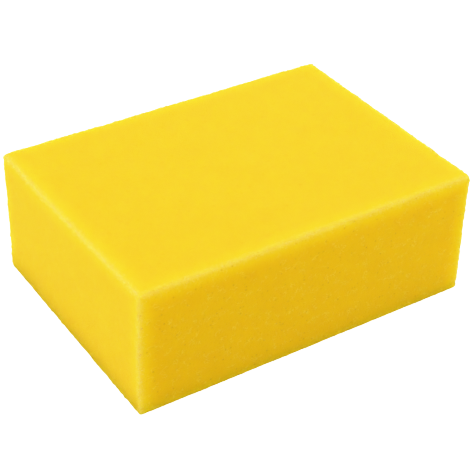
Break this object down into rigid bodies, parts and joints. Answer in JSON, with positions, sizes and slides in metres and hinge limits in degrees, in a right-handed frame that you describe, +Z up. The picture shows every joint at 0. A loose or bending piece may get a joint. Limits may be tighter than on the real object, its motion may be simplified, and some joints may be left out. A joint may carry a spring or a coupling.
{
  "type": "cleaning sponge",
  "caption": "Rectangular block of fine open-cell foam with softened edges, held in the hand to wipe, wash and soak up water.",
  "frame": {"origin": "middle of the bottom face, on the surface that the block stands on", "axes": "+X along the block's length, +Y across its width, +Z up through its thickness"},
  "size_m": [0.15, 0.109, 0.055],
  "materials": {
    "foam": "bright yellow flexible polyurethane foam, fine open cells, knife-cut matt faces, paler scuffed edges"
  },
  "bodies": {
    "root": {"foam_block": "foam"}
  },
  "joints": []
}
